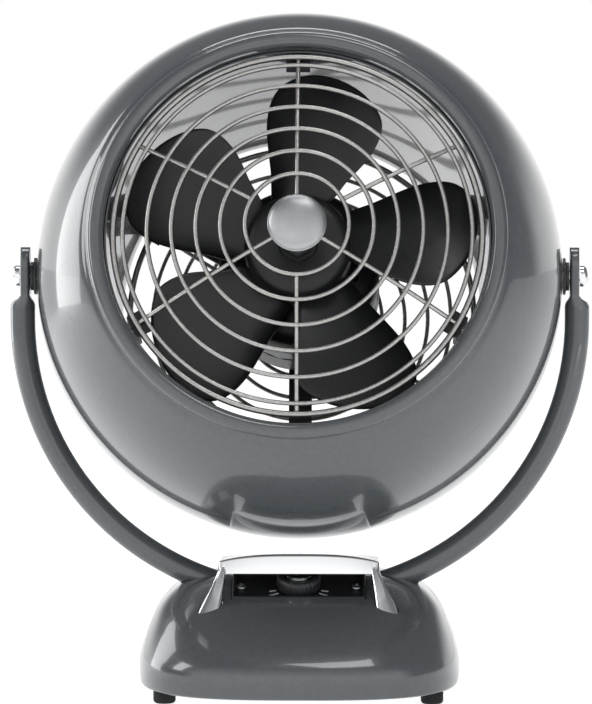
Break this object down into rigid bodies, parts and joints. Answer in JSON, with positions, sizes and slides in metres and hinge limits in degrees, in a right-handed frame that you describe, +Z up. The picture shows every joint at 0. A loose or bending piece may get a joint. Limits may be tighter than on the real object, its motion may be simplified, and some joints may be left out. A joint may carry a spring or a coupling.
{
  "type": "table air circulator fan",
  "caption": "Retro table air circulator: a round steel housing with wire grilles tilts in a bent tube yoke on a domed base with a hooded speed knob.",
  "frame": {"origin": "on the table, under the middle of the fan", "axes": "+Z up, the front grille faces -Y, +X is to the right as seen from the front; the tilt axis runs along X"},
  "size_m": [0.2972, 0.2322, 0.348],
  "materials": {
    "grey_enamel": "gloss enamel",
    "chrome": "polished",
    "satin_nickel": "satin plated",
    "zinc": "bright zinc",
    "steel": "plain",
    "black_plastic": "satin moulded",
    "black_paint": "semi-gloss",
    "rubber": "matt",
    "copper": "enamelled copper wire",
    "bronze": "sintered bronze"
  },
  "bodies": {
    "base": {"yoke_tube": "grey_enamel", "base_shell": "grey_enamel", "base_plate": "steel", "foot_front_left": "rubber", "foot_front_right": "rubber", "foot_rear_left": "rubber", "foot_rear_right": "rubber", "plate_screw_1": "zinc", "plate_screw_2": "zinc", "yoke_cradle": "zinc", "yoke_clamp": "zinc", "clamp_screw_1": "zinc", "clamp_screw_2": "zinc", "cord_inlet_bush": "rubber", "hood": "chrome", "dial_tray": "black_plastic", "switch_bracket": "zinc", "dial_screw_right": "zinc", "dial_screw_left": "zinc", "switch_body": "black_plastic", "switch_nut": "zinc"},
    "head": {"housing_shell": "grey_enamel", "inner_duct": "grey_enamel", "front_grille": "satin_nickel", "rear_grille": "satin_nickel", "grille_centre_plate": "satin_nickel", "hub_cap": "chrome", "hub_cap_nut": "zinc", "grille_clip_1": "black_paint", "clip_screw_1": "zinc", "grille_clip_2": "black_paint", "clip_screw_2": "zinc", "grille_clip_3": "black_paint", "clip_screw_3": "zinc", "motor_front_bell": "black_paint", "motor_rear_bell": "black_paint", "stator_core": "steel", "winding_front": "copper", "winding_rear": "copper", "bearing_front": "bronze", "bearing_rear": "bronze", "motor_spider": "black_paint", "spider_screw_1": "zinc", "spider_screw_2": "zinc", "spider_screw_3": "zinc", "pivot_boss_right": "steel", "pivot_spacer_right": "black_plastic", "pivot_screw_right": "chrome", "pivot_boss_left": "steel", "pivot_spacer_left": "black_plastic", "pivot_screw_left": "chrome"},
    "rotor": {"propeller": "black_plastic", "motor_shaft": "steel", "rotor_core": "steel", "propeller_nut": "zinc"},
    "knob": {"speed_knob": "black_plastic", "knob_cap": "chrome", "switch_shaft": "steel"}
  },
  "joints": [
    {"name": "head_tilt", "type": "hinge", "parent": "base", "child": "head", "pos_m": [0, 0, 0.213], "axis": [-1, 0, 0], "range_deg": [-32.5, 72.5]},
    {"name": "propeller_spin", "type": "hinge", "parent": "head", "child": "rotor", "pos_m": [0, 0, 0.213], "axis": [0, -0.9537, 0.3007], "continuous": true},
    {"name": "knob_turn", "type": "hinge", "parent": "base", "child": "knob", "pos_m": [0, -0.028, 0.0555], "axis": [0, 0.3746, -0.9272], "range_deg": [0, 135]}
  ]
}
